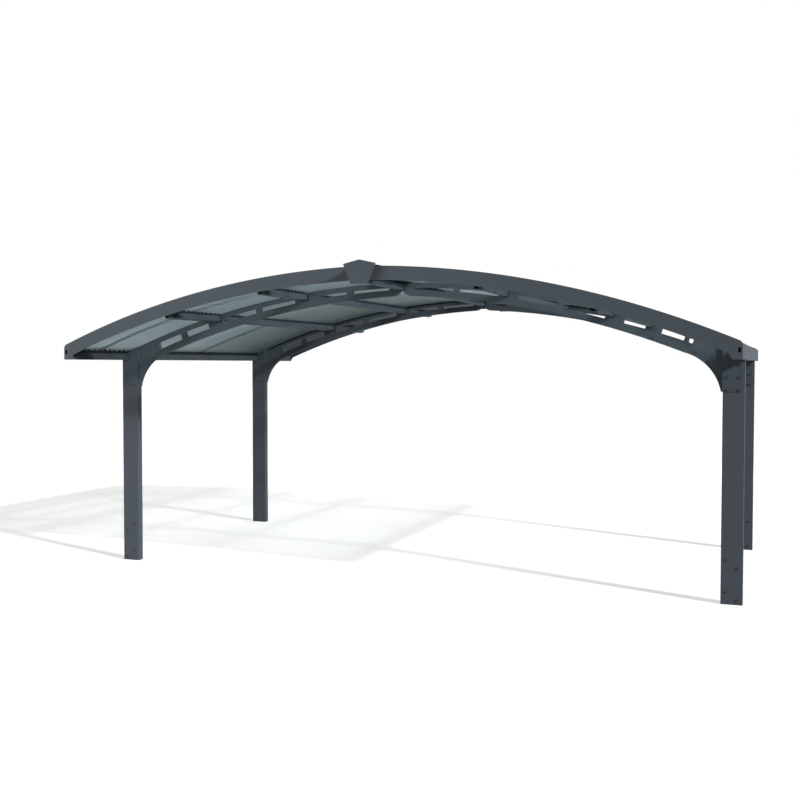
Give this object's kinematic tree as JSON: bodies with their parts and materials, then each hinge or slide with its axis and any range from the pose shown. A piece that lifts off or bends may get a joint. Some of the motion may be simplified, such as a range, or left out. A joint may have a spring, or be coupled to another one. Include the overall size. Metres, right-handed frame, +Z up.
{
  "type": "double carport",
  "caption": "Open double carport: slotted arched beams on four posts carry a low curved roof of corrugated translucent sheets with eave gutters.",
  "frame": {"origin": "on the ground, in the middle of the four posts", "axes": "+X across the width to the right, +Y to the rear, +Z up"},
  "size_m": [5.79, 4.686, 2.741],
  "materials": {
    "frame_coat": "satin blue-grey powder coat",
    "profile_coat": "satin blue-grey powder coat",
    "anchor_steel": "galvanized",
    "sheet": "grey translucent corrugated sheet",
    "seal_rubber": "dull black rubber"
  },
  "bodies": {
    "root": {"post_front_left": "profile_coat", "post_front_right": "profile_coat", "post_rear_left": "profile_coat", "post_rear_right": "profile_coat", "anchor_front_left": "anchor_steel", "anchor_front_right": "anchor_steel", "anchor_rear_left": "anchor_steel", "anchor_rear_right": "anchor_steel", "knee_front_left": "frame_coat", "knee_front_right": "frame_coat", "knee_rear_left": "frame_coat", "knee_rear_right": "frame_coat", "arch_front_left": "frame_coat", "arch_front_right": "frame_coat", "arch_rear_left": "frame_coat", "arch_rear_right": "frame_coat", "fascia_front_left": "profile_coat", "fascia_front_right": "profile_coat", "fascia_rear_left": "profile_coat", "fascia_rear_right": "profile_coat", "fascia_end_front_left": "profile_coat", "fascia_end_front_right": "profile_coat", "fascia_end_rear_left": "profile_coat", "fascia_end_rear_right": "profile_coat", "gutter_left": "profile_coat", "gutter_right": "profile_coat", "purlin_upper_left": "profile_coat", "purlin_upper_right": "profile_coat", "purlin_lower_left": "profile_coat", "purlin_lower_right": "profile_coat", "ridge_purlin": "profile_coat", "seal_left": "seal_rubber", "seal_right": "seal_rubber", "seal_ridge": "seal_rubber", "ridge_cap": "profile_coat", "ridge_end_front": "profile_coat", "ridge_end_rear": "profile_coat", "sheet_left_1": "sheet", "sheet_left_2": "sheet", "sheet_left_3": "sheet", "sheet_left_4": "sheet", "sheet_right_1": "sheet", "sheet_right_2": "sheet", "sheet_right_3": "sheet", "sheet_right_4": "sheet"}
  },
  "joints": []
}
